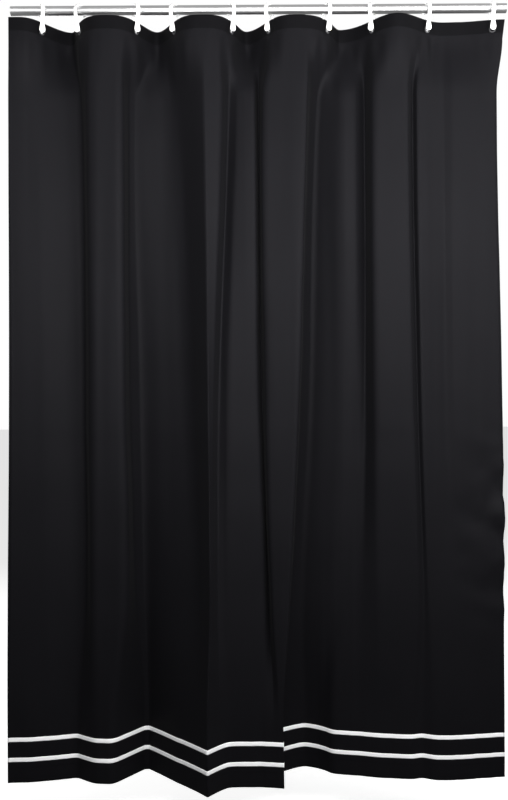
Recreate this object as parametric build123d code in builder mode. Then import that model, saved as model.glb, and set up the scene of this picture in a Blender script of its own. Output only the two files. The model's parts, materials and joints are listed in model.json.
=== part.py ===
from build123d import *
import os
from math import asin, atan, cos, degrees, hypot, pi, radians, sin

# A shower curtain on its rod, spread to its full width. The origin is the centre of the rod's left
# end. +X runs along the rod, +Z is up, and the side that faces the room faces -Y. Millimetres.

# Driving dimensions
rod_diameter = 22.0
rod_wall = 1.2
rod_overhang = 33.0  # rod beyond the last ring
left_edge = 2.0  # the cloth's left edge, along the rod
cloth_drop = 1800.0  # the cloth's height, top edge to bottom edge
cloth_thickness = 1.2
eyelet_pitch = 158.0  # cloth between one eyelet and the next, laid flat
left_margin = 78.0  # cloth left of the first eyelet, laid flat
right_margin = 30.0
# how far apart each pair of rings stands, as a share of the cloth between them
bay_shares = [0.58, 0.84, 0.58, 0.85, 0.57, 0.87, 0.68, 0.82, 0.985]
left_share = 0.90

ring_drop = 50.0  # rod centre to the ring's lowest point
ring_clearance = 0.9  # between the rod and the ring that hangs on it
ring_bend = 17.5  # inner radius of the ring's top
ring_foot = 11.0  # middle radius of the ring's lower bend
ring_wire = 4.0
ring_turn = 0.45  # share of the cloth's slant that the ring turns with it
strap_width = 9.0
strap_thickness = 2.6
hinge_gap = 0.4
tab_width = 14.0
tab_height = 24.0  # the tab's round end is centred on its socket
tab_thickness = 3.2
socket_depth = 1.8
socket_clearance = 0.4

eyelet_bore = 10.0
eyelet_wall = 0.6
eyelet_flange = 16.0
flange_thickness = 0.8
eyelet_play = 1.0  # air over the ring's wire in the eyelet
eyelet_fit = 0.3  # between the eyelet and the cloth
eyelet_inset = 23.0  # eyelet centre below the cloth's top edge
header_height = 46.0  # the folds run straight down this far below the top edge
hem_height = 125.0  # and this far above the bottom edge
mid_fullness = 0.4  # how much deeper the folds are halfway down, where two shapes of fold blend
cloth_levels = 7  # heights at which the changing fold is drawn between header and hem

ribbon_height = 10.0
ribbon_thickness = 0.8
ribbon_gap = 0.15  # between the ribbon and the cloth it is sewn to
ribbon_rises = {"lower_ribbon": 54.0, "upper_ribbon": 101.0}  # above the bottom edge

# Where the cloth's fold lines stand at the bottom edge: along the rod, and behind its centre.
# The cloth hangs clear of the rod there, so the folds are its own and no longer follow the rings.
hem_route_width = 1176.0  # rod length that the route is drawn for
hem_route = [
    (-10, -12),
    (72, -5),
    (153, 14),
    (217, -23),
    (310, 66),
    (388, -14),
    (466, -94),
    (536, -35),
    (585, -44),
    (641, -51),
    (632, 28),
    (697, 73),
    (760, 30),
    (858, 9),
    (1026, -10),
    (1168, 5),
]

# Values that follow from them
rod_radius = rod_diameter / 2
bay_spans = [share * eyelet_pitch for share in bay_shares]
first_ring = left_edge + left_share * left_margin
ring_places = [first_ring + sum(bay_spans[:n]) for n in range(len(bay_spans) + 1)]
rod_length = ring_places[-1] + rod_overhang
wire_height = ring_wire / 2 - ring_drop
eyelet_height = wire_height + ring_wire / 2 + eyelet_play - eyelet_bore / 2
cloth_top = eyelet_height + eyelet_inset
header_bottom = cloth_top - header_height
cloth_bottom = cloth_top - cloth_drop
hem_top = cloth_bottom + hem_height


def fold_length(span, depth):
    """Length of cloth in one cosine fold of this span and depth."""
    steep = pi * depth / span
    steps = 60
    return sum(hypot(1, steep * sin(pi * (n + 0.5) / steps)) for n in range(steps)) * span / steps


def fold_depth(span, cloth):
    """Depth of the fold that takes up this much cloth between two rings."""
    shallow, deep = 0.0, cloth
    for _ in range(40):
        depth = (shallow + deep) / 2
        if fold_length(span, depth) < cloth:
            shallow = depth
        else:
            deep = depth
    return depth


# Folds at the header: odd bays fold back from the rod, even ones come forward
bay_depths = [fold_depth(span, eyelet_pitch) for span in bay_spans]
edge_depth = fold_depth(2 * left_share * left_margin, 2 * left_margin)
fold_places = [(a + b) / 2 for a, b in zip(ring_places, ring_places[1:])]
fold_sides = [1 if n % 2 == 0 else -1 for n in range(len(bay_spans))]

slants = [edge_depth / (left_share * left_margin)]
slants += [2 * depth / span for depth, span in zip(bay_depths, bay_spans)]
slants += [0.0]
# each ring stands on a flank between two folds, whose slant is the mean of the two folds' steepest
flank_angles = [
    (1 if n % 2 == 0 else -1) * degrees(atan(pi / 4 * (before + after)))
    for n, (before, after) in enumerate(zip(slants, slants[1:]))
]


def header_line():
    """Plan of the cloth at the header: through each ring's eyelet and round each fold."""
    points = [Vector(left_edge, -edge_depth)]
    tangents = [Vector(1, 0)]
    folds = list(zip(fold_places, fold_sides, bay_depths))
    for n, place in enumerate(ring_places):
        angle = radians(flank_angles[n])
        along = Vector(cos(angle), sin(angle))
        for side in (-1, 1):
            points.append(Vector(place, 0) + along * (side * eyelet_flange / 2))
            tangents.append(along)
        if n < len(folds):
            points.append(Vector(folds[n][0], folds[n][1] * folds[n][2]))
            tangents.append(Vector(1, 0))
    points.append(points[-1] + Vector(right_margin - eyelet_flange / 2, 0))
    tangents.append(Vector(1, 0))
    return Spline(*points, tangents=tangents)


def hem_line():
    """Plan of the cloth at the bottom edge."""
    scale = rod_length / hem_route_width
    return Spline(*[(x * scale, y) for x, y in hem_route])


stations = 240
stretches = 16  # each section is drawn as this many short curves, end to end
top_plan = header_line()
bottom_plan = hem_line()


def plan_points(line):
    """Points evenly spaced along a plan line."""
    steps = [line.length * n / stations for n in range(stations + 1)]
    return [line.position_at(step, position_mode=PositionMode.LENGTH) for step in steps]


top_points = plan_points(top_plan)
bottom_points = plan_points(bottom_plan)


def middle_points(height):
    """Plan of the sheet's middle at a height, between the header's folds and the hem's."""
    share = min(1.0, max(0.0, (header_bottom - height) / (header_bottom - hem_top)))
    deeper = 1 + mid_fullness * 4 * share * (1 - share)
    points = [top * (1 - share) + bottom * share for top, bottom in zip(top_points, bottom_points)]
    return [Vector(point.X, point.Y * deeper) for point in points]


def directions(points):
    """Direction of a row of points at each of them."""
    ends = range(len(points))
    return [(points[min(n + 1, stations)] - points[max(n - 1, 0)]).normalized() for n in ends]


def draw_row(points):
    """Short curves, end to end, through a row of points."""
    step = stations // stretches
    for first in range(0, stations, step):
        Spline(*points[first : first + step + 1])


def cloth_section(height, near, far):
    """Face of the sheet at a height, from one distance in front of its middle to another."""
    middle = middle_points(height)
    normals = [Vector(along.Y, -along.X) for along in directions(middle)]
    front = [point + normal * far for point, normal in zip(middle, normals)]
    back = [point + normal * near for point, normal in zip(middle, normals)]
    with BuildSketch(Plane.XY.offset(height)) as section:
        with BuildLine():
            draw_row(front)
            Line(front[-1], back[-1])
            draw_row(back[::-1])
            Line(back[0], front[0])
        make_face()
    return section.sketch


# The rod, a plain tube
with BuildPart() as rod:
    with BuildSketch(Plane.YZ):
        Circle(rod_radius)
        Circle(rod_radius - rod_wall, mode=Mode.SUBTRACT)
    extrude(amount=rod_length)

# The cloth, one sheet with a round hole for each eyelet
eyelet_outer = eyelet_bore + 2 * eyelet_wall
with BuildPart() as cloth:
    add(cloth_section(cloth_top, -cloth_thickness / 2, cloth_thickness / 2))
    for level in range(cloth_levels + 1):
        height = header_bottom + (hem_top - header_bottom) * level / cloth_levels
        add(cloth_section(height, -cloth_thickness / 2, cloth_thickness / 2))
    add(cloth_section(cloth_bottom, -cloth_thickness / 2, cloth_thickness / 2))
    loft(ruled=True)


def flank_plane(number):
    """Plane of the cloth at a ring, at the eyelet's centre, facing the room."""
    angle = radians(flank_angles[number])
    return Plane(
        origin=(ring_places[number], 0, eyelet_height),
        x_dir=(cos(angle), sin(angle), 0),
        z_dir=(sin(angle), -cos(angle), 0),
    )


with BuildPart() as holes:
    for number in range(len(ring_places)):
        with BuildSketch(flank_plane(number)):
            Circle(eyelet_outer / 2 + eyelet_fit)
        extrude(amount=eyelet_outer / 2, both=True)
with BuildPart() as curtain:
    add(cloth.part)
    add(holes.part, mode=Mode.SUBTRACT)
curtain.part.label = "curtain_cloth"


def make_ribbon(rise):
    """A ribbon sewn to the front of the cloth, a height above the bottom edge."""
    near = cloth_thickness / 2 + ribbon_gap
    low = cloth_bottom + rise - ribbon_height / 2
    with BuildPart() as ribbon:
        add(cloth_section(low, near, near + ribbon_thickness))
        add(cloth_section(low + ribbon_height, near, near + ribbon_thickness))
        loft(ruled=True)
    return ribbon.part


def make_eyelet(number):
    """Front half of an eyelet: a flange in front of the cloth and a barrel through it."""
    face = cloth_thickness / 2 + eyelet_fit
    plane = flank_plane(number)
    with BuildPart() as eyelet:
        with BuildSketch(plane.offset(face)):
            Circle(eyelet_flange / 2)
            Circle(eyelet_bore / 2, mode=Mode.SUBTRACT)
        extrude(amount=flange_thickness)
        with BuildSketch(plane.offset(-face - flange_thickness)):
            Circle(eyelet_outer / 2)
            Circle(eyelet_bore / 2, mode=Mode.SUBTRACT)
        extrude(amount=2 * face + flange_thickness)
    return eyelet.part


def make_washer(number):
    """Back half of an eyelet: the washer that the barrel is clinched over."""
    face = cloth_thickness / 2 + eyelet_fit
    with BuildPart() as washer:
        with BuildSketch(flank_plane(number).offset(-face - flange_thickness)):
            Circle(eyelet_flange / 2)
            Circle(eyelet_outer / 2, mode=Mode.SUBTRACT)
        extrude(amount=flange_thickness)
    return washer.part


# The ring's outline in its own plane: a pear, round the rod above and the eyelet below
bend_height = rod_radius + ring_clearance - ring_bend
bend_middle = ring_bend + strap_thickness / 2
foot_height = wire_height + ring_foot
taper = degrees(asin((bend_middle - ring_foot) / (bend_height - foot_height)))
tab_back = ring_foot - strap_thickness / 2


def ring_plane(number):
    """The plane that a ring lies in: its X runs backwards and its Y up."""
    angle = radians(flank_angles[number] * ring_turn)
    return Plane(
        origin=(ring_places[number], 0, 0),
        x_dir=(-sin(angle), cos(angle), 0),
        z_dir=(cos(angle), sin(angle), 0),
    )


def make_band(plane, side, reach):
    """A flat strap along one side of the pear, from the hinge at its top down to a height."""
    with BuildPart() as band:
        with BuildSketch(plane):
            with BuildLine():
                CenterArc((0, bend_height), bend_middle, 0, 360)
            make_face()
            with BuildLine():
                CenterArc((0, foot_height), ring_foot, 0, 360)
            make_face()
            make_hull()
            offset(amount=strap_thickness / 2)
            offset(amount=-strap_thickness, mode=Mode.SUBTRACT)
            with Locations((side * hinge_gap / 2, reach)):
                corner = Align.MIN if side > 0 else Align.MAX
                Rectangle(ring_drop, 2 * ring_drop, align=(corner, Align.MIN), mode=Mode.INTERSECT)
        extrude(amount=strap_width / 2, both=True)
    return band.part


def make_hook(number):
    """Back half of a ring: over the rod, down behind the cloth and forward through the eyelet."""
    plane = ring_plane(number)
    lean = radians(taper)
    shoulder = (bend_middle * cos(lean), bend_height - bend_middle * sin(lean))
    heel = (ring_foot * cos(lean), foot_height - ring_foot * sin(lean))
    tip = -tab_back - socket_depth + socket_clearance
    with BuildPart() as hook:
        add(make_band(plane, 1, shoulder[1]))
        with BuildLine(plane) as route:
            Line(shoulder, heel)
            CenterArc((0, foot_height), ring_foot, -taper, taper - 90)
            Line((0, wire_height), (tip, wire_height))
        with BuildSketch(Plane(origin=route.line @ 0, z_dir=route.line % 0)):
            Circle(ring_wire / 2)
        sweep()
        with BuildSketch(plane.offset(0)):
            with Locations(shoulder):
                Circle(ring_wire / 2)
        extrude(amount=strap_width / 2, both=True)
    return hook.part


def make_strap(number):
    """Front half of a ring: a strap that ends in a round tab, with a socket for the hook's tip."""
    plane = ring_plane(number)
    tab_origin = plane.from_local_coords((-tab_back, 0, 0))
    tab_plane = Plane(origin=tab_origin, x_dir=plane.z_dir, z_dir=-plane.x_dir)
    with BuildPart() as strap:
        add(make_band(plane, -1, wire_height + tab_width / 2))
        with BuildSketch(tab_plane):
            with Locations((0, wire_height)):
                Circle(tab_width / 2)
            with Locations((0, wire_height + tab_height - tab_width / 2 - strap_width / 2)):
                Circle(strap_width / 2)
            make_hull()
        extrude(amount=tab_thickness)
        with BuildSketch(tab_plane):
            with Locations((0, wire_height)):
                Circle(ring_wire / 2 + socket_clearance)
        extrude(amount=socket_depth, mode=Mode.SUBTRACT)
    return strap.part


os.makedirs("parts", exist_ok=True)
rod.part.label = "rod"
finished = [rod.part, curtain.part]
for name, rise in ribbon_rises.items():
    ribbon = make_ribbon(rise)
    ribbon.label = name
    finished.append(ribbon)
makers = {
    "eyelet": make_eyelet,
    "washer": make_washer,
    "ring_hook": make_hook,
    "ring_strap": make_strap,
}
for kind, maker in makers.items():
    for number in range(len(ring_places)):
        piece = maker(number)
        piece.label = f"{kind}_{number + 1:02d}"
        finished.append(piece)
for piece in finished:
    export_step(piece, f"parts/{piece.label}.step")
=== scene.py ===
# %% [markdown]
# # A shower curtain on its rod
# The curtain is one sheet of black polyester with two white ribbons sewn above its hem. Ten white
# plastic rings hold it on a steel tube. The CAD model fixes every place and size, so this script
# loads it first and then puts finer pieces where the CAD's plain ones are.

import json
from math import asin, atan2, cos, pi, sin, sqrt, tan

import bmesh
import bpy
import numpy as np
from mathutils import Matrix, Vector, noise


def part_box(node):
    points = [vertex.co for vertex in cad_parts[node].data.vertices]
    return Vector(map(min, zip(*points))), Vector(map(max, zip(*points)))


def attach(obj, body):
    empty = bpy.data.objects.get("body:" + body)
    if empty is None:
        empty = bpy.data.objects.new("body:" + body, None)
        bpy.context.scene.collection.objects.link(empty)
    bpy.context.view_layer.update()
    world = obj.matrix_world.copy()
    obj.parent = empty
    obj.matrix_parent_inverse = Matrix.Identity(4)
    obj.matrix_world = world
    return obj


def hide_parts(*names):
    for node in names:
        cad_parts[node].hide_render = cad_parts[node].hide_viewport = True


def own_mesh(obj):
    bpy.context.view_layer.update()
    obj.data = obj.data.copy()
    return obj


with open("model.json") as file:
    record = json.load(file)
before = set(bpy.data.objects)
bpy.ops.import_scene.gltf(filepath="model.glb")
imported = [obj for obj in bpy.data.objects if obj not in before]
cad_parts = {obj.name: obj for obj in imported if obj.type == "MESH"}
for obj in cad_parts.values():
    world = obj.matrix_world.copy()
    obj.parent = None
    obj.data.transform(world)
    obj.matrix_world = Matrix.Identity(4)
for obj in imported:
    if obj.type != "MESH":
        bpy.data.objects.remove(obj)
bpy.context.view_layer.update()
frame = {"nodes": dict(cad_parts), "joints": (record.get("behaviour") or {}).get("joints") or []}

# %% [markdown]
# ## Measures from the frame
# A ring hangs where its strap's hinge is, and turns as far as that hinge's axis turns. Reading
# both from the joints keeps every new piece on its CAD body, whatever the curtain's width.

# %% Rings, rod and cloth
mm = 0.001
ring_joints = sorted(
    (j for j in frame["joints"] if j["name"].startswith("strap_")), key=lambda j: j["name"]
)
ring_places = [j["pos_m"][0] for j in ring_joints]
ring_turns = [atan2(j["axis"][1], j["axis"][0]) for j in ring_joints]
hinge_height = ring_joints[0]["pos_m"][2]
rod_low, rod_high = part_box("rod")
rod_radius = (rod_high.z - rod_low.z) / 2
cloth_low, cloth_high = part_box("curtain_cloth")
cloth_top, cloth_bottom = cloth_high.z, cloth_low.z
eyelet_low, eyelet_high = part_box("eyelet_01")
eyelet_height = (eyelet_low.z + eyelet_high.z) / 2
flange_radius = (eyelet_high.z - eyelet_low.z) / 2
print("rings at", [round(x, 3) for x in ring_places], "cloth", round(cloth_top - cloth_bottom, 3))

# %% [markdown]
# ## Camera
# The camera looks level along +Y from two metres away, half way down the curtain. A level camera
# keeps the folds upright, and its small roll lets the rod rise a little to the right.

# %% Place the camera
camera_distance = 2.1
camera_place = Vector(((rod_low.x + rod_high.x) / 2 - 0.0163, -camera_distance, -0.9265))
camera_roll = 0.0061
camera = bpy.data.objects.new("camera", bpy.data.cameras.new("camera"))
bpy.context.scene.collection.objects.link(camera)
camera.data.lens = 39.8
camera.data.sensor_width = 36
camera.data.clip_end = 60
camera.location = camera_place
camera.rotation_euler = (pi / 2, camera_roll, 0)
bpy.context.scene.camera = camera
bpy.context.scene.view_settings.view_transform = "Standard"
print("camera", tuple(round(v, 3) for v in camera_place))

# %% [markdown]
# ## Floor
# The curtain hangs over a pale floor. It could be a real white plane, but so much white would throw
# light up the dark cloth. So the paper is pale to the camera and dim to every other ray, which its
# finish below sets. Here it is one large square from the grid operator.

# %% Floor
floor_height = cloth_bottom - 0.12
bm = bmesh.new()
bmesh.ops.create_grid(bm, x_segments=1, y_segments=1, size=30)
bmesh.ops.translate(bm, verts=bm.verts, vec=(0.6, 0, floor_height))
floor_mesh = bpy.data.meshes.new("floor")
bm.to_mesh(floor_mesh)
bm.free()
floor = bpy.data.objects.new("floor", floor_mesh)
bpy.context.scene.collection.objects.link(floor)
print("floor at", round(floor_height, 3))

# %% [markdown]
# ## Lamps
# A dark cloth shows its folds only by what falls on their slopes. A lamp far away would light the
# hem as much as the header. This key lamp hangs close in front of the upper half, so its light dies
# away down the curtain. The weaker lamps on each side keep the flanks of the folds from going
# black, and the lamp behind is for views of the back.

# %% Soft lamps
def add_lamp(name, place, aim, width, height, power):
    """A rectangular soft lamp at a place, turned towards a point."""
    lamp = bpy.data.objects.new(name, bpy.data.lights.new(name, "AREA"))
    lamp.data.shape = "RECTANGLE"
    lamp.data.size = width
    lamp.data.size_y = height
    lamp.data.energy = power
    lamp.visible_camera = False
    lamp.location = place
    lamp.rotation_euler = (Vector(aim) - Vector(place)).to_track_quat("-Z", "Y").to_euler()
    bpy.context.scene.collection.objects.link(lamp)
    return lamp


middle = (rod_low.x + rod_high.x) / 2
upper_cloth = (middle, 0, -0.4)
add_lamp("key", (middle + 0.25, -1.15, -0.37), (middle + 0.15, 0, -0.37), 1.9, 0.8, 60)
add_lamp("left", (middle - 1.7, -1.0, 0.1), upper_cloth, 1.0, 1.0, 9)
add_lamp("right", (middle + 1.7, -1.0, 0.1), upper_cloth, 1.0, 1.0, 26)
add_lamp("back", (middle - 0.8, 2.4, 0.6), (middle, 0, -0.7), 2.5, 1.5, 40)

# %% [markdown]
# ## World
# A bright tube looks like what stands around it, so the rod needs a pale room, while the cloth needs
# a dark one. The Light Path node tells the rays apart. The camera sees white, reflections see a
# third of that, and the light that falls on the cloth is faint.

# %% World
sky_fill, sky_in_reflections = 0.035, 0.35
world = bpy.data.worlds.new("studio")
world.use_nodes = True
bpy.context.scene.world = world
nodes, links = world.node_tree.nodes, world.node_tree.links
nodes.clear()
sky = nodes.new("ShaderNodeBackground")
sky.inputs["Color"].default_value = (1, 1, 1, 1)
path = nodes.new("ShaderNodeLightPath")
output = nodes.new("ShaderNodeOutputWorld")
unseen = nodes.new("ShaderNodeMath")
unseen.operation = "MULTIPLY_ADD"
unseen.inputs[1].default_value = sky_in_reflections - sky_fill
unseen.inputs[2].default_value = sky_fill
strength = nodes.new("ShaderNodeMath")
strength.operation = "MAXIMUM"
links.new(path.outputs["Is Glossy Ray"], unseen.inputs[0])
links.new(unseen.outputs[0], strength.inputs[0])
links.new(path.outputs["Is Camera Ray"], strength.inputs[1])
links.new(strength.outputs[0], sky.inputs["Strength"])
links.new(sky.outputs[0], output.inputs["Surface"])
print("world", world.name, "gives", sky_fill, "and", sky_in_reflections, "in reflections")

# %% [markdown]
# ## Finishes
# Each finish is a Principled BSDF whose colour, roughness and bump come from noise and from the
# weave. The weave and the stitches follow the cloth's own UV map, which is in metres along and
# down the flat sheet, so they run over the folds as thread does.

# %% Helpers for finishes
def new_finish(name):
    """A material with its Principled BSDF and its node tree."""
    finish = bpy.data.materials.new(name)
    finish.use_nodes = True
    tree = finish.node_tree
    return finish, tree, tree.nodes["Principled BSDF"]


def add_node(tree, kind, values=None, **settings):
    """A node with its settings and the values of its sockets."""
    node = tree.nodes.new(kind)
    for key, value in settings.items():
        setattr(node, key, value)
    for key, value in (values or {}).items():
        node.inputs[key].default_value = value
    return node


def add_math(tree, operation, first, second=None, third=None):
    """A Math node whose inputs are sockets or numbers."""
    node = add_node(tree, "ShaderNodeMath", operation=operation)
    for place, value in enumerate((first, second, third)):
        if isinstance(value, (int, float)):
            node.inputs[place].default_value = value
        elif value is not None:
            tree.links.new(value, node.inputs[place])
    return node.outputs[0]


print("helpers for finishes are ready")

# %% [markdown]
# ## Plain weave
# Cloth and ribbon are both woven: each thread goes over one and under the next. An image could give
# that, but two sine waves crossed at right angles make the same checks at any size. Long thin noise
# adds the slubs, the thicker lengths of a thread. Both finishes use the group with their own counts.

# %% Node group: plain weave
weave = bpy.data.node_groups.new("plain_weave", "ShaderNodeTree")
weave.interface.new_socket("Vector", in_out="INPUT", socket_type="NodeSocketVector")
weave.interface.new_socket("Threads per Metre", in_out="INPUT", socket_type="NodeSocketFloat")
weave.interface.new_socket("Slub", in_out="INPUT", socket_type="NodeSocketFloat")
weave.interface.new_socket("Height", in_out="OUTPUT", socket_type="NodeSocketFloat")
weave.interface.new_socket("Unevenness", in_out="OUTPUT", socket_type="NodeSocketFloat")
group_in = weave.nodes.new("NodeGroupInput")
group_out = weave.nodes.new("NodeGroupOutput")
split = weave.nodes.new("ShaderNodeSeparateXYZ")
weave.links.new(group_in.outputs["Vector"], split.inputs[0])
rate = add_math(weave, "MULTIPLY", group_in.outputs["Threads per Metre"], pi)
along = add_math(weave, "SINE", add_math(weave, "MULTIPLY", split.outputs["X"], rate))
down = add_math(weave, "SINE", add_math(weave, "MULTIPLY", split.outputs["Y"], rate))
over = add_math(weave, "ABSOLUTE", add_math(weave, "MULTIPLY", along, down))
stretch = add_node(weave, "ShaderNodeMapping", {"Scale": (60, 900, 1)})
weave.links.new(group_in.outputs["Vector"], stretch.inputs["Vector"])
slubs = add_node(weave, "ShaderNodeTexNoise", {"Scale": 1.0, "Detail": 2.0})
weave.links.new(stretch.outputs[0], slubs.inputs["Vector"])
uneven = add_math(weave, "MULTIPLY", slubs.outputs["Fac"], group_in.outputs["Slub"])
weave.links.new(add_math(weave, "ADD", over, uneven), group_out.inputs["Height"])
weave.links.new(slubs.outputs["Fac"], group_out.inputs["Unevenness"])
print("group", weave.name, "with", len(weave.nodes), "nodes")

# %% [markdown]
# ## A row of stitches
# The header and the hem are turned over and sewn, so a dotted line in a shallow groove runs across
# the curtain at both. Thousands of modelled stitches would be heavy, so a group draws one row at a
# height on the flat sheet: a thin band cut into dashes, and a wider band for the groove.

# %% Node group: a row of stitches across the sheet
stitches = bpy.data.node_groups.new("stitch_row", "ShaderNodeTree")
stitches.interface.new_socket("Vector", in_out="INPUT", socket_type="NodeSocketVector")
stitches.interface.new_socket("Height on Sheet", in_out="INPUT", socket_type="NodeSocketFloat")
stitches.interface.new_socket("Stitch", in_out="OUTPUT", socket_type="NodeSocketFloat")
stitches.interface.new_socket("Groove", in_out="OUTPUT", socket_type="NodeSocketFloat")
stitch_length, stitch_width, groove_width = 0.0032, 0.0005, 0.0012
group_in = stitches.nodes.new("NodeGroupInput")
group_out = stitches.nodes.new("NodeGroupOutput")
split = stitches.nodes.new("ShaderNodeSeparateXYZ")
stitches.links.new(group_in.outputs["Vector"], split.inputs[0])
away = add_math(stitches, "SUBTRACT", split.outputs["Y"], group_in.outputs["Height on Sheet"])
away = add_math(stitches, "ABSOLUTE", away)
groove = add_math(stitches, "SUBTRACT", 1.0, add_math(stitches, "DIVIDE", away, groove_width))
groove = add_math(stitches, "MAXIMUM", groove, 0.0)
thread = add_math(stitches, "SUBTRACT", 1.0, add_math(stitches, "DIVIDE", away, stitch_width))
thread = add_math(stitches, "MAXIMUM", thread, 0.0)
dash = add_math(stitches, "MULTIPLY", split.outputs["X"], 2 * pi / stitch_length)
dash = add_math(stitches, "GREATER_THAN", add_math(stitches, "SINE", dash), -0.5)
stitches.links.new(add_math(stitches, "MULTIPLY", thread, dash), group_out.inputs["Stitch"])
stitches.links.new(groove, group_out.inputs["Groove"])
print("group", stitches.name, "with", len(stitches.nodes), "nodes")

# %% [markdown]
# ## Black polyester
# The cloth is a matt black weave with very little shine. Its colour is far darker than it looks,
# because the lamps are strong, and faint noise keeps it from being one flat tone. The turned header is
# two layers thick; its band carries painted shade, a darker colour, and the grooves beside the stitches
# carry painted shade darker still.

# %% Black polyester
header_band, hem_band = 0.031, 0.035
sheet_drop = cloth_top - cloth_bottom
black_cloth, tree, shader = new_finish("black_polyester")
shader.inputs["Specular IOR Level"].default_value = 0.045
shader.inputs["Specular Tint"].default_value = (0.97, 0.95, 1.0, 1)
shader.inputs["Sheen Weight"].default_value = 0.01
shader.inputs["Sheen Roughness"].default_value = 0.45
uv = add_node(tree, "ShaderNodeUVMap", uv_map="flat_sheet")
weave_node = add_node(tree, "ShaderNodeGroup", node_tree=weave)
weave_node.inputs["Threads per Metre"].default_value = 2400
weave_node.inputs["Slub"].default_value = 0.5
tree.links.new(uv.outputs[0], weave_node.inputs["Vector"])
split = add_node(tree, "ShaderNodeSeparateXYZ")
tree.links.new(uv.outputs[0], split.inputs[0])
rows = []
for height in (header_band, sheet_drop - hem_band):
    row = add_node(tree, "ShaderNodeGroup", {"Height on Sheet": height}, node_tree=stitches)
    tree.links.new(uv.outputs[0], row.inputs["Vector"])
    rows.append(row)
groove = add_math(tree, "ADD", rows[0].outputs["Groove"], rows[1].outputs["Groove"])
stitch = add_math(tree, "ADD", rows[0].outputs["Stitch"], rows[1].outputs["Stitch"])
cloud = add_node(tree, "ShaderNodeTexNoise", {"Scale": 5.0, "Detail": 4.0, "Roughness": 0.6})
tree.links.new(uv.outputs[0], cloud.inputs["Vector"])
header = add_math(tree, "LESS_THAN", split.outputs["Y"], header_band)
tone_and_painted_shade = add_math(tree, "MULTIPLY_ADD", cloud.outputs["Fac"], 0.3, 0.85)
# painted shade: the header band's base colour is darkened to 55 per cent
tone_and_painted_shade = add_math(tree, "MULTIPLY", tone_and_painted_shade, add_math(tree, "MULTIPLY_ADD", header, -0.45, 1.0))
# painted shade: the grooves beside the stitch rows are darkened in colour
tone_and_painted_shade = add_math(tree, "MULTIPLY", tone_and_painted_shade, add_math(tree, "MULTIPLY_ADD", groove, -0.6, 1.0))
tone_and_painted_shade = add_math(tree, "ADD", tone_and_painted_shade, add_math(tree, "MULTIPLY", stitch, 0.5))
colour = add_node(tree, "ShaderNodeMix", data_type="RGBA", blend_type="MULTIPLY")
colour.inputs["Factor"].default_value = 1.0
colour.inputs[6].default_value = (0.0040, 0.0039, 0.0047, 1)
tree.links.new(tone_and_painted_shade, colour.inputs[7])
tree.links.new(colour.outputs[2], shader.inputs["Base Color"])
rough = add_math(tree, "MULTIPLY_ADD", weave_node.outputs["Unevenness"], 0.16, 0.52)
rough = add_math(tree, "ADD", rough, add_math(tree, "MULTIPLY", header, 0.12))
tree.links.new(rough, shader.inputs["Roughness"])
relief = add_math(tree, "MULTIPLY", weave_node.outputs["Height"], 0.00004)
relief = add_math(tree, "SUBTRACT", relief, add_math(tree, "MULTIPLY", groove, 0.0004))
relief = add_math(tree, "ADD", relief, add_math(tree, "MULTIPLY", stitch, 0.0004))
bump = add_node(tree, "ShaderNodeBump", {"Strength": 0.5, "Distance": 1.0})
tree.links.new(relief, bump.inputs["Height"])
tree.links.new(bump.outputs[0], shader.inputs["Normal"])
print("finish", black_cloth.name, "with", len(tree.nodes), "nodes")

# %% [markdown]
# ## White ribbon
# The ribbons are white and finely woven. The weave's own unevenness moves both the tone and the
# roughness a little, so the light catches some threads more than others.

# %% White ribbon
white_ribbon, tree, shader = new_finish("white_satin")
shader.inputs["Specular IOR Level"].default_value = 0.4
shader.inputs["Sheen Weight"].default_value = 0.2
uv = add_node(tree, "ShaderNodeUVMap", uv_map="flat_sheet")
weave_node = add_node(tree, "ShaderNodeGroup", node_tree=weave)
weave_node.inputs["Threads per Metre"].default_value = 1500
weave_node.inputs["Slub"].default_value = 0.7
tree.links.new(uv.outputs[0], weave_node.inputs["Vector"])
tone = add_node(tree, "ShaderNodeMix", data_type="RGBA")
tone.inputs[6].default_value = (0.86, 0.86, 0.87, 1)
tone.inputs[7].default_value = (0.96, 0.96, 0.96, 1)
tree.links.new(weave_node.outputs["Unevenness"], tone.inputs["Factor"])
tree.links.new(tone.outputs[2], shader.inputs["Base Color"])
rough = add_math(tree, "MULTIPLY_ADD", weave_node.outputs["Unevenness"], 0.2, 0.42)
tree.links.new(rough, shader.inputs["Roughness"])
bump = add_node(tree, "ShaderNodeBump", {"Strength": 0.4, "Distance": 0.00006})
tree.links.new(weave_node.outputs["Height"], bump.inputs["Height"])
tree.links.new(bump.outputs[0], shader.inputs["Normal"])

# %% [markdown]
# ## White moulded plastic
# The rings come out of a mould: white, smooth, a little glossy and very slightly see-through. Noise
# on Object coordinates mottles the tone, and a finer one gives the skin its faint flow marks.

# %% White moulded plastic
plastic, tree, shader = new_finish("white_plastic")
shader.inputs["Specular IOR Level"].default_value = 0.5
shader.inputs["Coat Weight"].default_value = 0.15
shader.inputs["Coat Roughness"].default_value = 0.15
shader.inputs["Subsurface Weight"].default_value = 0.1
shader.inputs["Subsurface Radius"].default_value = (0.002, 0.002, 0.0018)
place = add_node(tree, "ShaderNodeTexCoord")
mottle = add_node(tree, "ShaderNodeTexNoise", {"Scale": 90.0, "Detail": 3.0})
tree.links.new(place.outputs["Object"], mottle.inputs["Vector"])
tone = add_node(tree, "ShaderNodeMix", data_type="RGBA")
tone.inputs[6].default_value = (0.80, 0.80, 0.79, 1)
tone.inputs[7].default_value = (0.88, 0.88, 0.875, 1)
tree.links.new(mottle.outputs["Fac"], tone.inputs["Factor"])
tree.links.new(tone.outputs[2], shader.inputs["Base Color"])
rough = add_math(tree, "MULTIPLY_ADD", mottle.outputs["Fac"], 0.14, 0.24)
tree.links.new(rough, shader.inputs["Roughness"])
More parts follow.
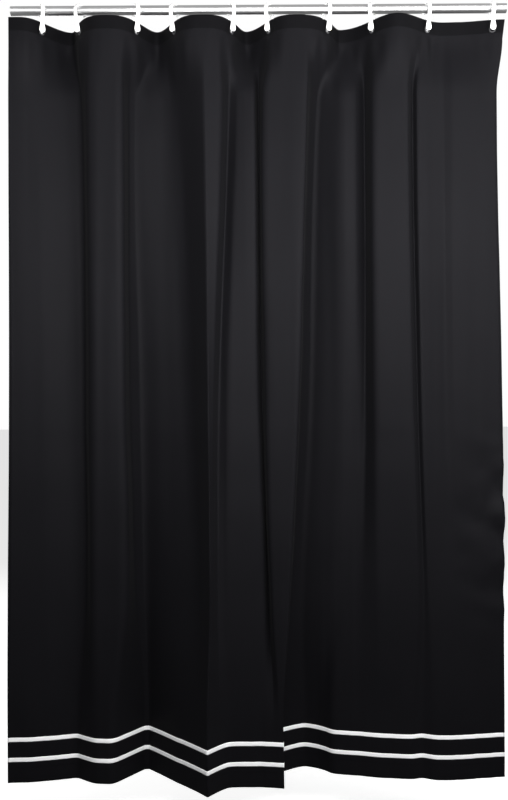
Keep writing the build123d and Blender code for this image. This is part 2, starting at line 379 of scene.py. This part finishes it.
flow = add_node(tree, "ShaderNodeTexNoise", {"Scale": 700.0, "Detail": 2.0})
tree.links.new(place.outputs["Object"], flow.inputs["Vector"])
bump = add_node(tree, "ShaderNodeBump", {"Strength": 0.15, "Distance": 0.0001})
tree.links.new(flow.outputs["Fac"], bump.inputs["Height"])
tree.links.new(bump.outputs[0], shader.inputs["Normal"])
print("finish", plastic.name, "with", len(tree.nodes), "nodes")

# %% [markdown]
# ## Drawn steel
# The rod is drawn through a die, which leaves very fine scratches along it, and hands leave smears.
# The scratches are noise stretched along X by a Mapping node, and the smears are plain noise.

# %% Drawn steel
steel, tree, shader = new_finish("drawn_steel")
place = add_node(tree, "ShaderNodeTexCoord")
drawn = add_node(tree, "ShaderNodeMapping", {"Scale": (3, 900, 900)})
tree.links.new(place.outputs["Object"], drawn.inputs["Vector"])
streaks = add_node(tree, "ShaderNodeTexNoise", {"Scale": 1.0, "Detail": 3.0})
tree.links.new(drawn.outputs[0], streaks.inputs["Vector"])
smears = add_node(tree, "ShaderNodeTexNoise", {"Scale": 14.0, "Detail": 4.0})
tree.links.new(place.outputs["Object"], smears.inputs["Vector"])
shader.inputs["Metallic"].default_value = 1.0
tone = add_node(tree, "ShaderNodeMix", data_type="RGBA")
tone.inputs[6].default_value = (0.80, 0.80, 0.81, 1)
tone.inputs[7].default_value = (0.90, 0.90, 0.90, 1)
tree.links.new(smears.outputs["Fac"], tone.inputs["Factor"])
tree.links.new(tone.outputs[2], shader.inputs["Base Color"])
rough = add_math(tree, "MULTIPLY_ADD", smears.outputs["Fac"], 0.1, 0.24)
rough = add_math(tree, "MULTIPLY_ADD", streaks.outputs["Fac"], 0.08, rough)
tree.links.new(rough, shader.inputs["Roughness"])
bump = add_node(tree, "ShaderNodeBump", {"Strength": 0.1, "Distance": 0.00004})
tree.links.new(streaks.outputs["Fac"], bump.inputs["Height"])
tree.links.new(bump.outputs[0], shader.inputs["Normal"])
print("finish", steel.name, "with", len(tree.nodes), "nodes")

# %% [markdown]
# ## Dark enamel
# The eyelets are small metal parts painted to match the cloth. Sprayed enamel dries with a fine
# orange peel, so one noise drives its tone, its roughness and its bump together.

# %% Dark enamel
enamel, tree, shader = new_finish("dark_enamel")
place = add_node(tree, "ShaderNodeTexCoord")
orange_peel = add_node(tree, "ShaderNodeTexNoise", {"Scale": 900.0, "Detail": 2.0})
tree.links.new(place.outputs["Object"], orange_peel.inputs["Vector"])
tone = add_node(tree, "ShaderNodeMix", data_type="RGBA")
tone.inputs[6].default_value = (0.018, 0.018, 0.02, 1)
tone.inputs[7].default_value = (0.045, 0.045, 0.048, 1)
tree.links.new(orange_peel.outputs["Fac"], tone.inputs["Factor"])
tree.links.new(tone.outputs[2], shader.inputs["Base Color"])
rough = add_math(tree, "MULTIPLY_ADD", orange_peel.outputs["Fac"], 0.2, 0.25)
tree.links.new(rough, shader.inputs["Roughness"])
bump = add_node(tree, "ShaderNodeBump", {"Strength": 0.2, "Distance": 0.00005})
tree.links.new(orange_peel.outputs["Fac"], bump.inputs["Height"])
tree.links.new(bump.outputs[0], shader.inputs["Normal"])
print("finish", enamel.name, "with", len(tree.nodes), "nodes")

# %% [markdown]
# ## Floor paper
# The paper is white to the camera, with a soft glow so that it has no horizon of shade. Every
# other ray meets a dark grey, so the floor throws almost no light up the cloth.

# %% Floor paper
paper, tree, shader = new_finish("floor_paper")
shader.inputs["Roughness"].default_value = 0.9
shader.inputs["Specular IOR Level"].default_value = 0.0
shader.inputs["Emission Color"].default_value = (1, 1, 1, 1)
sight = add_node(tree, "ShaderNodeLightPath")
tone = add_node(tree, "ShaderNodeMix", data_type="RGBA")
tone.inputs[6].default_value = (0.1, 0.1, 0.1, 1)
tone.inputs[7].default_value = (0.82, 0.82, 0.82, 1)
tree.links.new(sight.outputs["Is Camera Ray"], tone.inputs["Factor"])
tree.links.new(tone.outputs[2], shader.inputs["Base Color"])
glow = add_math(tree, "MULTIPLY", sight.outputs["Is Camera Ray"], 0.74)
glow = add_math(tree, "MULTIPLY_ADD", sight.outputs["Is Glossy Ray"], 0.1, glow)
tree.links.new(glow, shader.inputs["Emission Strength"])
floor_mesh.materials.append(paper)
print("finishes:", [m.name for m in bpy.data.materials])

# %% [markdown]
# ## The cloth's folds
# At its top the sheet weaves from ring to ring, as the CAD's header does. Lower down each
# fold wanders: some stay as sharp pressed edges, and others soften and die out. So the sheet is
# described by its fold lines. Each has a place at five heights, and a softness, which says how
# much of the cloth beside it the bend takes up. A section between two heights is a blend.

# %% Fold lines
# Each line gives a name, the place along the header in millimetres, then a place along the rod and
# one behind its centre at four heights, and the softness. The four heights are just below the
# header, half way down, three quarters of the way down and at the hem.
fold_lines = [
    ("left edge", 2, (-2, -20), (-6, -16), (-13, -12), (-15, -12), 1.0),
    ("left panel", 58, (45, -14), (100, -2), (107, 2), (67, -5), 1.0),
    ("first valley", 133, (156, 26), (163, 20), (165, 14), (145, 12), 0.5),
    ("first crest, left", 195, (190, -30), (192, -30), (189, -22), (185, -14), 0.6),
    ("first crest, right", 262, (265, -34), (265, -32), (267, -24), (235, -20), 0.6),
    ("second valley, left", 290, (276, 22), (275, 24), (285, 34), (299, 60), 0.5),
    ("second valley, right", 325, (292, 38), (297, 50), (305, 52), (311, 62), 0.5),
    ("back panel", 365, (378, 38), (418, 14), (437, -30), (435, -67), 0.7),
    ("pressed crest", 455, (459, -40), (466, -56), (468, -80), (461, -94), 0.15),
    ("beside the crest", 490, (499, -30), (478, -44), (477, -66), (475, -78), 0.5),
    ("slanting valley", 515, (517, 6), (489, -20), (485, -48), (489, -62), 0.5),
    ("low ridge, left", 540, (536, -2), (511, -30), (508, -46), (510, -46), 0.6),
    ("low ridge, right", 566, (576, -6), (579, -26), (592, -36), (585, -44), 0.6),
    ("third valley", 590, (586, 18), (591, 0), (604, -16), (613, -48), 0.4),
    ("overhang, left", 625, (598, -22), (600, -36), (611, -46), (625, -50), 0.5),
    ("overhang, right", 700, (698, -38), (674, -48), (650, -52), (636, -51), 0.4),
    ("behind the overhang", 728, (711, 4), (683, 16), (658, 36), (629, 35), 0.5),
    ("deep valley", 762, (731, 34), (708, 50), (687, 56), (692, 73), 0.6),
    ("small ridge, left", 790, (789, 8), (783, 18), (757, 30), (727, 56), 1.0),
    ("small ridge, right", 812, (815, 10), (813, 16), (785, 24), (755, 30), 0.6),
    ("fourth valley", 835, (841, 26), (839, 22), (827, 12), (825, 14), 0.5),
    ("broad crest, left", 875, (858, -24), (859, -20), (865, -8), (875, 2), 0.6),
    ("broad crest, right", 945, (934, -32), (943, -24), (956, -14), (945, -4), 0.6),
    ("narrow valley", 962, (951, -8), (958, -8), (970, -7), (965, 0), 0.8),
    ("low crest", 980, (960, -22), (967, -20), (982, -14), (995, -10), 0.7),
    ("fine crease", 1025, (1024, -6), (1026, -6), (1037, -10), (1035, -12), 0.5),
    ("flat panel", 1050, (1044, -12), (1046, -10), (1067, -8), (1075, -8), 0.8),
    ("right edge", 1166, (1151, -6), (1160, -4), (1162, 0), (1163, 5), 1.0),
]
header_height, hem_height = 0.046, 0.125  # the sheet hangs plumb over these, as the CAD's does
header_bottom = cloth_top - header_height
hem_top = cloth_bottom + hem_height
below_header, halfway_down, three_quarters_down = -0.2, -0.9265, -1.4015
level_heights = np.array(
    [header_bottom, below_header, halfway_down, three_quarters_down, hem_top]
)
columns_per_fold = 13
print("fold lines:", len(fold_lines))

# %% [markdown]
# ## A section through the folds
# Where two flat runs of cloth meet, the bend is round. A plain polyline would be too sharp and a
# smooth spline through every corner too soft, so each corner is a short quadratic curve that takes up
# a share of the runs beside it. Rounding a corner pulls it in, so the corners are first moved out
# by what they lose.

# %% Section through the fold lines at one height
def rounded_section(corners, softness):
    """Points along a line through the corners, each rounded by its softness."""
    target = np.array(corners, float)
    control = target.copy()
    soft = np.array(softness)
    for turn in range(12):
        start, end = control.copy(), control.copy()
        before = np.linalg.norm(control[1:-1] - control[:-2], axis=1)
        after = np.linalg.norm(control[2:] - control[1:-1], axis=1)
        cut = soft[1:-1] * 0.5 * np.minimum(before, after)
        start[1:-1] += (control[:-2] - control[1:-1]) * (cut / before)[:, None]
        end[1:-1] += (control[2:] - control[1:-1]) * (cut / after)[:, None]
        apex = (start + 2 * control + end) / 4
        if turn < 11:
            control[1:-1] += (target[1:-1] - apex[1:-1]) * 0.7
    runs = []
    t = np.linspace(0.5, 1, 30)[:, None]
    for n in range(len(target) - 1):
        leaving = (1 - t) ** 2 * start[n] + 2 * t * (1 - t) * control[n] + t**2 * end[n]
        m = n + 1
        arriving = t**2 * start[m] + 2 * t * (1 - t) * control[m] + (1 - t) ** 2 * end[m]
        line = np.vstack([leaving, arriving[::-1]])
        lengths = np.concatenate([[0], np.cumsum(np.linalg.norm(np.diff(line, axis=0), axis=1))])
        wanted = np.linspace(0, lengths[-1], columns_per_fold + 1)
        run = np.column_stack([np.interp(wanted, lengths, line[:, k]) for k in (0, 1)])
        runs.append(run if n == 0 else run[1:])
    return np.vstack(runs)


print("columns across the sheet:", (len(fold_lines) - 1) * columns_per_fold + 1)

# %% [markdown]
# ## The header's section
# At the top the eyelets hold the cloth, so its section must pass through each ring at the ring's
# slant. A Hermite curve does that: its knots are the two sides of each eyelet, with their slope,
# and the crest or valley half way between two rings, whose depth is read from the CAD header.

# %% Section of the header, through the rings
ring_turn_share = 0.45
fold_leans = [15, 0, -2, -6, -10, -5, -18, -10, 0]  # how far a header fold leans along the rod, mm
flank_half = flange_radius
top_points = np.array([v.co for v in frame["nodes"]["curtain_cloth"].data.vertices])
top_points = top_points[top_points[:, 2] > cloth_top - 0.001]


def header_depth_at(x):
    """Depth of the CAD header's middle near a place along the rod."""
    near = top_points[np.abs(top_points[:, 0] - x) < 0.006]
    return float((near[:, 1].min() + near[:, 1].max()) / 2)


left_end, right_end = 0.002, 1.172
knots = [(left_end, header_depth_at(left_end + 0.002), 0.0)]
for n, (x, turn) in enumerate(zip(ring_places, ring_turns)):
    slope = turn / ring_turn_share
    for side in (-1, 1):
        across, back = flank_half * cos(slope), flank_half * sin(slope)
        knots.append((x + side * across, side * back, tan(slope)))
    if n + 1 < len(ring_places):
        fold_x = (x + ring_places[n + 1]) / 2
        knots.append((fold_x + fold_leans[n] * mm, header_depth_at(fold_x), 0.0))
last_x, last_depth, last_slope = knots[-1]
knots.append((right_end, last_depth + (right_end - last_x) * last_slope * 0.3, 0.0))
knots = np.array(knots)


def header_depth(x):
    """Depth of the header's middle at each place along the rod."""
    n = np.clip(np.searchsorted(knots[:, 0], x) - 1, 0, len(knots) - 2)
    a, b = knots[n], knots[n + 1]
    span = b[:, 0] - a[:, 0]
    t = np.clip((x - a[:, 0]) / span, 0, 1)
    h00 = 2 * t**3 - 3 * t**2 + 1
    h10 = t**3 - 2 * t**2 + t
    h01 = -2 * t**3 + 3 * t**2
    h11 = t**3 - t**2
    return h00 * a[:, 1] + h10 * span * a[:, 2] + h01 * b[:, 1] + h11 * span * b[:, 2]


header_places = np.array([line[1] for line in fold_lines]) * mm
steps = np.arange((len(fold_lines) - 1) * columns_per_fold + 1) / columns_per_fold
header_x = np.interp(steps, np.arange(len(fold_lines)), header_places)
header_section = np.column_stack([header_x, header_depth(header_x)])
softness = [line[6] for line in fold_lines]
levels = [header_section]
for level in range(4):
    corners = [(line[2 + level][0] * mm, line[2 + level][1] * mm) for line in fold_lines]
    levels.append(rounded_section(corners, softness))
levels = np.array(levels)
steps_along = np.linalg.norm(np.diff(levels, axis=1), axis=2)
for name, steps in zip(("header", "below it", "half", "three quarters", "hem"), steps_along):
    print(name, "section is", round(float(steps.sum()), 3), "m long")

# %% [markdown]
# ## Between the levels
# A fold does not kink where one drawn level ends. A cubic blend from level to level keeps its
# slope as it goes down, so the fold lines run on as smooth curves.

# %% The sheet's middle surface at any height
def section_at(height):
    """Plan of the sheet's middle at a height, blended between the levels."""
    drops = -level_heights
    d = float(np.clip(-height, drops[0], drops[-1]))
    n = int(np.clip(np.searchsorted(drops, d) - 1, 0, len(drops) - 2))
    span = drops[n + 1] - drops[n]
    t = (d - drops[n]) / span

    def slope(k):
        if k == 0 or k == len(drops) - 1:
            return 0.0 * levels[0]
        return (levels[k + 1] - levels[k - 1]) / (drops[k + 1] - drops[k - 1])

    return (
        (2 * t**3 - 3 * t**2 + 1) * levels[n]
        + (t**3 - 2 * t**2 + t) * span * slope(n)
        + (-2 * t**3 + 3 * t**2) * levels[n + 1]
        + (t**3 - t**2) * span * slope(n + 1)
    )


halfway = section_at(halfway_down)
print("half way down, the cloth lies between", halfway.min(0).round(3), "and", halfway.max(0).round(3))

# %% [markdown]
# ## Rows down the sheet
# The header bends most and the hem carries the ribbons, so rows stand close together there and
# wider apart between. The whole grid stays under fifty thousand squares a side. The flat width
# is shared out along the columns as the sections' own lengths share it.

# %% Rows, closer together in the header and the hem
row_heights = np.concatenate(
    [
        np.linspace(cloth_top, cloth_top - 0.030, 11),
        np.linspace(cloth_top - 0.032, header_bottom, 7),
        np.linspace(header_bottom - 0.006, header_bottom - 0.16, 18),
        np.linspace(header_bottom - 0.176, hem_top + 0.02, 80),
        np.linspace(hem_top, cloth_bottom, 22),
    ]
)
sheet_width = 1.53
shares = np.cumsum(steps_along, axis=1) / steps_along.sum(axis=1)[:, None]
flat_along = np.concatenate([[0], shares.mean(axis=0)]) * sheet_width
print("rows", len(row_heights), "columns", len(flat_along))

# %% [markdown]
# ## Small shape: puckers, creases and crumples
# Cloth out of a packet keeps faint level creases where it was folded flat, and its free edge
# crumples by about a centimetre. Each eyelet gathers the cloth under it into short puckers. The rest
# are a millimetre or two. All are pushed along the sheet's normal. Noise read at fixed places gives
# the same cloth on every run.

# %% Ripples and puckers
ripple_waves = [
    # waves per metre along, seed, waves per metre down, size
    (22, 3.1, 2.2, 0.0016),
    (48, 8.7, 1.3, 0.0010),
    (95, 1.9, 1.8, 0.0004),
    (9, 5.3, 9.0, 0.0012),
]
ripple_fade = 0.1  # the ripples come in over this far below the header
pucker_reach, pucker_pitch, pucker_size = 0.09, 0.03, 0.0022


def ripples(x, z):
    """Faint upright waves, none in the header."""
    height = 0.0
    for along, seed, down, size in ripple_waves:
        height += size * noise.noise((x * along, seed, z * down))
    return height * min(1.0, max(0.0, (header_bottom - z) / ripple_fade))


def puckers(x, z):
    """Short gathers under each eyelet, which swell and then die out as they go down."""
    height = 0.0
    down = max(0.0, header_bottom - z + 0.01) / pucker_pitch
    for place in ring_places:
        away = abs(x - place)
        if away < pucker_reach:
            fade = (1 - away / pucker_reach) ** 2
            height += pucker_size * fade * down * 2.7 ** (1 - down) * cos(away * 2 * pi / pucker_pitch)
    return height


print("under the first eyelet the puckers stand", round(puckers(ring_places[0], -0.09) * 1000, 2), "mm")

# %% Packing creases and the crumpled edge
packing_creases = [(-0.475, 0.4), (-0.995, 1.0), (-1.27, 0.8)]  # height and strength
crease_size, crease_half_width, crease_wander = 0.0011, 0.007, 0.006
crumple_start, crumple_width = 1.03, 0.12
crumple_middle, crumple_half_height = -1.23, 0.32


def creases(x, z):
    """Level creases where the cloth was folded in its packet, stronger in some places."""
    height = 0.0
    for level, strength in packing_creases:
        crease = level + crease_wander * noise.noise((x * 4, level * 9, 1.7))
        away = (z - crease) / crease_half_width
        there = 0.5 + 0.5 * noise.noise((x * 7, level, 4.4))
        height += crease_size * strength * there * 2.7 ** (-away * away)
    return height


def crumples(x, z):
    """Slanting dents towards the free right edge, in the lower half."""
    edge = max(0.0, (x - crumple_start) / crumple_width)
    band = max(0.0, 1 - abs(z - crumple_middle) / crumple_half_height)
    wide = 0.014 * noise.noise((x * 12 + z * 9, 2.2, z * 17))
    sharp = 0.010 * abs(noise.noise((x * 26 + z * 12, 6.2, z * 30)))
    return edge * band * (wide + sharp)


def relief(x, z):
    """How far the sheet stands out of its smooth shape at a place seen from the front."""
    return ripples(x, z) + puckers(x, z) + creases(x, z) + crumples(x, z)


print("in the middle the relief is", round(relief(middle, halfway_down) * 1000, 2), "mm")

# %% The sheet's points
header_lean = 0.006  # the free right edge slants outwards up the header
last_panel = np.linspace(0, 1, columns_per_fold + 1)


def surface_points(heights):
    """The sheet's middle, rows by columns, with its small relief."""
    points = np.zeros((len(heights), len(flat_along), 3))
    for row, height in enumerate(heights):
        points[row, :, :2] = section_at(height)
        points[row, :, 2] = height
        climb = max(0.0, height - header_bottom) / (cloth_top - header_bottom)
        points[row, -len(last_panel) :, 0] += climb * header_lean * last_panel
    normals = surface_normals(points)
    for row, height in enumerate(heights):
        for column in range(points.shape[1]):
            place = points[row, column, 0]
            points[row, column] += normals[row, column] * relief(place, height)
    return points


def surface_normals(points):
    """Unit normals of a grid of points, towards the room."""
    down = np.gradient(points, axis=0)
    along = np.gradient(points, axis=1)
    normals = np.cross(down, along)
    normals /= np.linalg.norm(normals, axis=2)[:, :, None] + 1e-12
    return normals


sheet_points = surface_points(row_heights)
print("sheet spans", sheet_points.min((0, 1)).round(3), sheet_points.max((0, 1)).round(3))

# %% [markdown]
# ## The sheet
# A grid gives the faces, and each of its points goes to its place on the folded surface. The cloth
# is left out inside each eyelet, where the ring passes through, and the eyelet's flange covers the
# cut edge. Solidify then gives the cloth its real thickness of a third of a millimetre.

# %% A folded grid
def folded_grid(name, points, down, finish, thickness, leave_out=None):
    """A sheet over a grid of points, with UVs in metres, made solid."""
    rows, columns = points.shape[:2]
    bm = bmesh.new()
    uv_layer = bm.loops.layers.uv.new("flat_sheet")
    bmesh.ops.create_grid(bm, x_segments=columns - 1, y_segments=rows - 1, size=0.5)
    index = {}
    for vert in bm.verts:
        column = round((vert.co.x + 0.5) * (columns - 1))
        row = round((0.5 - vert.co.y) * (rows - 1))
        index[vert] = (row, column)
    for face in bm.faces:
        for loop in face.loops:
            row, column = index[loop.vert]
            loop[uv_layer].uv = (flat_along[column], down[row])
        face.smooth = True
    for vert, (row, column) in index.items():
        vert.co = points[row, column]
    if leave_out:
        doomed = [face for face in bm.faces if leave_out(face)]
        bmesh.ops.delete(bm, geom=doomed, context="FACES")
    mesh = bpy.data.meshes.new(name)
    bm.to_mesh(mesh)
    bm.free()
    sheet = bpy.data.objects.new(name, mesh)
    bpy.context.scene.collection.objects.link(sheet)
    solid = sheet.modifiers.new("thickness", "SOLIDIFY")
    solid.thickness = thickness
    solid.offset = 0
    evaluated = sheet.evaluated_get(bpy.context.evaluated_depsgraph_get())
    final = bpy.data.meshes.new_from_object(evaluated)
    sheet.modifiers.clear()
    sheet.data = final
    final.materials.clear()
    final.materials.append(finish)
    print(name, "has", len(final.polygons), "faces")
    return sheet


eyelet_centres = [Vector((x, 0, eyelet_height)) for x in ring_places]
hole_reach = flange_radius - 0.0006


def inside_eyelet(face):
    """Whether every corner of a face is hidden by an eyelet's flange."""
    return any(all((v.co - c).length < hole_reach for v in face.verts) for c in eyelet_centres)


curtain = folded_grid(
    "curtain_sheet", sheet_points, cloth_top - row_heights, black_cloth, 0.00035, inside_eyelet
)

# %% [markdown]
# ## Ribbons
# Two satin ribbons are sewn flat on the front of the cloth. Each follows the same surface as the
# cloth beneath it, lifted by half of both thicknesses and a hair's breadth.

# %% Ribbons over the cloth
ribbons = []
for name in ("lower_ribbon", "upper_ribbon"):
    low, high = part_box(name)
    heights = np.linspace(high.z, low.z, 7)
    points = surface_points(np.concatenate([[high.z + 0.004], heights, [low.z - 0.004]]))
    lift = surface_normals(points) * 0.0006
    points = (points + lift)[1:-1]
    ribbon = folded_grid(name + "_sheet", points, cloth_top - heights, white_ribbon, 0.0003)
    ribbons.append(ribbon)

# %% [markdown]
# ## Rings
# A ring is moulded in white plastic in two halves: a flat strap in front that widens into a round
# tab, and a hook behind that thins to a round wire and passes through the eyelet into the tab.
# Each half is drawn as one profile carried along a path, so its section can change on the way.

# %% Carry a profile along a path
profile_points = 20


def carry_profile(bm, stations):
    """Skins a path: each station is its place, its two half sizes, its lean and its squareness."""
    ring = bmesh.ops.create_circle(bm, cap_ends=True, segments=profile_points, radius=1)["verts"]
    for number, (place, half_width, half_depth, lean, square) in enumerate(stations):
        if number > 0:
            edges = {e for v in ring for e in v.link_edges if all(w in ring for w in e.verts)}
            made = set(bmesh.ops.extrude_edge_only(bm, edges=list(edges))["geom"])
            onward = [[e.other_vert(v) for e in v.link_edges] for v in ring]
            ring = [next(v for v in reached if v in made) for reached in onward]
        for k, vert in enumerate(ring):
            angle = 2 * pi * k / profile_points
            c, s = cos(angle), sin(angle)
            size = (abs(c) ** square + abs(s) ** square) ** (-1 / square)
            w, d = half_width * c * size, half_depth * s * size
            vert.co = (place[0] + d * cos(lean), w, place[1] + d * sin(lean))
    bmesh.ops.contextual_create(bm, geom=ring)


# %% [markdown]
# ## The pear that both halves follow
# A snap ring is pear-shaped: a wide bend over the rod, a small one at the foot, and two straight
# sides that touch both. Its slant follows from the two radii and their distance apart.

# %% The pear's bends and sides
hook_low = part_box("ring_hook_10")[0]
strap_half_width, strap_half_depth, wire_radius = 4.5 * mm, 1.3 * mm, 2.0 * mm
bend_radius = 18.8 * mm
bend_height = hinge_height - bend_radius - strap_half_depth
foot_radius = 11 * mm
foot_height = hook_low.z + wire_radius + foot_radius
taper = asin((bend_radius - foot_radius) / (bend_height - foot_height))


def bend_point(angle):
    """Place and lean on the upper bend; the angle runs from the top, backwards."""
    return (bend_radius * sin(angle), bend_height + bend_radius * cos(angle)), pi / 2 - angle


side_angle = pi / 2 + taper
shoulder, shoulder_lean = bend_point(side_angle)
heel = (foot_radius * cos(taper), foot_height - foot_radius * sin(taper))
print("the sides slant", round(taper, 3), "radians")

# %% Hook half
half_gap = 0.2 * mm
hook_stations = []
for step in range(17):
    angle = half_gap / bend_radius + (side_angle - half_gap / bend_radius) * step / 16
    place, lean = bend_point(angle)
    end = min(1.0, (step + 0.6) / 1.4)
    hook_stations.append((place, strap_half_width * end, strap_half_depth * end, lean, 4.5))
for step in range(1, 13):
    t = step / 12
    place = (shoulder[0] + (heel[0] - shoulder[0]) * t, shoulder[1] + (heel[1] - shoulder[1]) * t)
    ease = min(1.0, t / 0.35)
    ease = ease * ease * (3 - 2 * ease)
    width = strap_half_width + (wire_radius - strap_half_width) * ease
    depth = strap_half_depth + (wire_radius - strap_half_depth) * ease
    hook_stations.append((place, width, depth, shoulder_lean, 4.5 - 2.5 * ease))
for step in range(1, 15):
    angle = -taper - (pi / 2 - taper) * step / 14
    place = (foot_radius * cos(angle), foot_height + foot_radius * sin(angle))
    hook_stations.append((place, wire_radius, wire_radius, angle, 2.0))
for step in range(1, 5):
    place = (-foot_radius * step / 4, foot_height - foot_radius)
    hook_stations.append((place, wire_radius, wire_radius, -pi / 2, 2.0))
print("hook stations:", len(hook_stations))

# %% Strap half with its round tab
strap_stations = []
for step in range(17):
    angle = -half_gap / bend_radius - (side_angle - half_gap / bend_radius) * step / 16
    place, lean = bend_point(angle)
    end = min(1.0, (step + 0.6) / 1.4)
    strap_stations.append((place, strap_half_width * end, strap_half_depth * end, lean, 4.5))
tab_radius, tab_height, tab_half_depth = 7 * mm, 24 * mm, 1.6 * mm
tab_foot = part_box("ring_strap_01")[0].z
tab_front = -foot_radius + strap_half_depth
tab_middle = tab_front - tab_half_depth
tab_top = tab_foot + tab_height
for step in range(1, 9):
    t = step / 8
    start = (-shoulder[0], shoulder[1])
    stop = (tab_middle, tab_top)
    place = (start[0] + (stop[0] - start[0]) * t, start[1] + (stop[1] - start[1]) * t)
    lean = pi - shoulder_lean * (1 - t * t)
    depth = strap_half_depth + (tab_half_depth - strap_half_depth) * t
    strap_stations.append((place, strap_half_width, depth, lean, 4.5))
tab_centre = tab_foot + tab_radius
for step in range(1, 9):
    t = step / 8
    z = tab_top + (tab_centre - tab_top) * t
    ease = t * t * (3 - 2 * t)
    width = strap_half_width + (tab_radius - strap_half_width) * ease
    strap_stations.append(((tab_middle, z), width, tab_half_depth, pi, 4.5))
for step in range(1, 13):
    angle = pi / 2 * step / 12
    z = tab_centre - tab_radius * sin(angle)
    width = max(tab_radius * cos(angle), 0.4 * mm)
    depth = tab_half_depth * (0.35 + 0.65 * sqrt(max(0.0, cos(angle))))
    strap_stations.append(((tab_middle, z), width, depth, pi, 4.5 - 1.5 * t))
print("strap stations:", len(strap_stations))

# %% Ten of each, turned and placed
halves = {"ring_hook": hook_stations, "ring_strap": strap_stations}
for kind, stations in halves.items():
    bm = bmesh.new()
    carry_profile(bm, stations)
    bmesh.ops.recalc_face_normals(bm, faces=bm.faces)
    for face in bm.faces:
        face.smooth = True
    # the path is drawn in X and Z with the profile's width along Y: X becomes backwards
    bmesh.ops.rotate(bm, verts=bm.verts, cent=(0, 0, 0), matrix=Matrix.Rotation(pi / 2, 3, "Z"))
    pattern = bpy.data.meshes.new(kind)
    bm.to_mesh(pattern)
    bm.free()
    for number, (place, turn) in enumerate(zip(ring_places, ring_turns), 1):
        mesh = pattern.copy()
        mesh.transform(Matrix.Translation((place, 0, 0)) @ Matrix.Rotation(turn, 4, "Z"))
        mesh.materials.append(plastic)
        piece = bpy.data.objects.new(f"{kind}_{number:02d}_moulded", mesh)
        bpy.context.scene.collection.objects.link(piece)
        smooth = piece.modifiers.new("smooth", "SUBSURF")
        smooth.levels = smooth.render_levels = 1
        body = "curtain" if number == 1 else f"ring_{number:02d}"
        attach(piece, f"strap_{number:02d}" if kind == "ring_strap" else body)
        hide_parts(f"{kind}_{number:02d}")
    print(kind, "has", len(pattern.polygons), "faces")

# %% [markdown]
# ## Rod
# The rod is a thin steel tube cut square at both ends. A cone tool with equal radii and no caps
# makes its skin, Solidify gives the wall, and a bevel takes the bite off the cut edges.

# %% Tube
rod_length = rod_high.x - rod_low.x
bm = bmesh.new()
bmesh.ops.create_cone(
    bm, cap_ends=False, segments=96, radius1=rod_radius, radius2=rod_radius, depth=rod_length
)
bmesh.ops.rotate(bm, verts=bm.verts, cent=(0, 0, 0), matrix=Matrix.Rotation(pi / 2, 3, "Y"))
bmesh.ops.translate(bm, verts=bm.verts, vec=(rod_low.x + rod_length / 2, 0, 0))
bmesh.ops.recalc_face_normals(bm, faces=bm.faces)
for face in bm.faces:
    face.smooth = True
rod_mesh = bpy.data.meshes.new("rod_tube")
bm.to_mesh(rod_mesh)
bm.free()
rod_mesh.materials.append(steel)
rod = bpy.data.objects.new("rod_tube", rod_mesh)
bpy.context.scene.collection.objects.link(rod)
wall = rod.modifiers.new("wall", "SOLIDIFY")
wall.thickness = 1.2 * mm
wall.offset = -1
edge = rod.modifiers.new("edge", "BEVEL")
edge.width = 0.25 * mm
edge.segments = 2
edge.limit_method = "ANGLE"
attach(rod, "rod")
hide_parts("rod")
print("rod", round(rod_length, 3), "m long")

# %% [markdown]
# ## Eyelets
# Each eyelet is two pressed metal pieces that grip the cloth between them. They are small and plain,
# so the CAD shape is kept. Its triangles are loose, so Weld joins them before the edges are softened.

# %% Eyelets keep their CAD shape, with softened edges
for name, node in frame["nodes"].items():
    if name.startswith(("eyelet", "washer")):
        node.data.materials.clear()
        node.data.materials.append(enamel)
        weld = node.modifiers.new("weld", "WELD")
        weld.merge_threshold = 0.00001
        soften = node.modifiers.new("edge", "BEVEL")
        soften.width = 0.25 * mm
        soften.segments = 2
        soften.limit_method = "ANGLE"
        soften.harden_normals = True
print("eyelets and washers:", sum(name.startswith(("eyelet", "washer")) for name in frame["nodes"]))

# %% [markdown]
# ## The sheet rides with the first ring.

# %% Ride with the first ring
stands_for = {curtain: "curtain_cloth", ribbons[0]: "lower_ribbon", ribbons[1]: "upper_ribbon"}
for piece, node in stands_for.items():
    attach(piece, "curtain")
    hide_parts(node)
    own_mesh(piece)
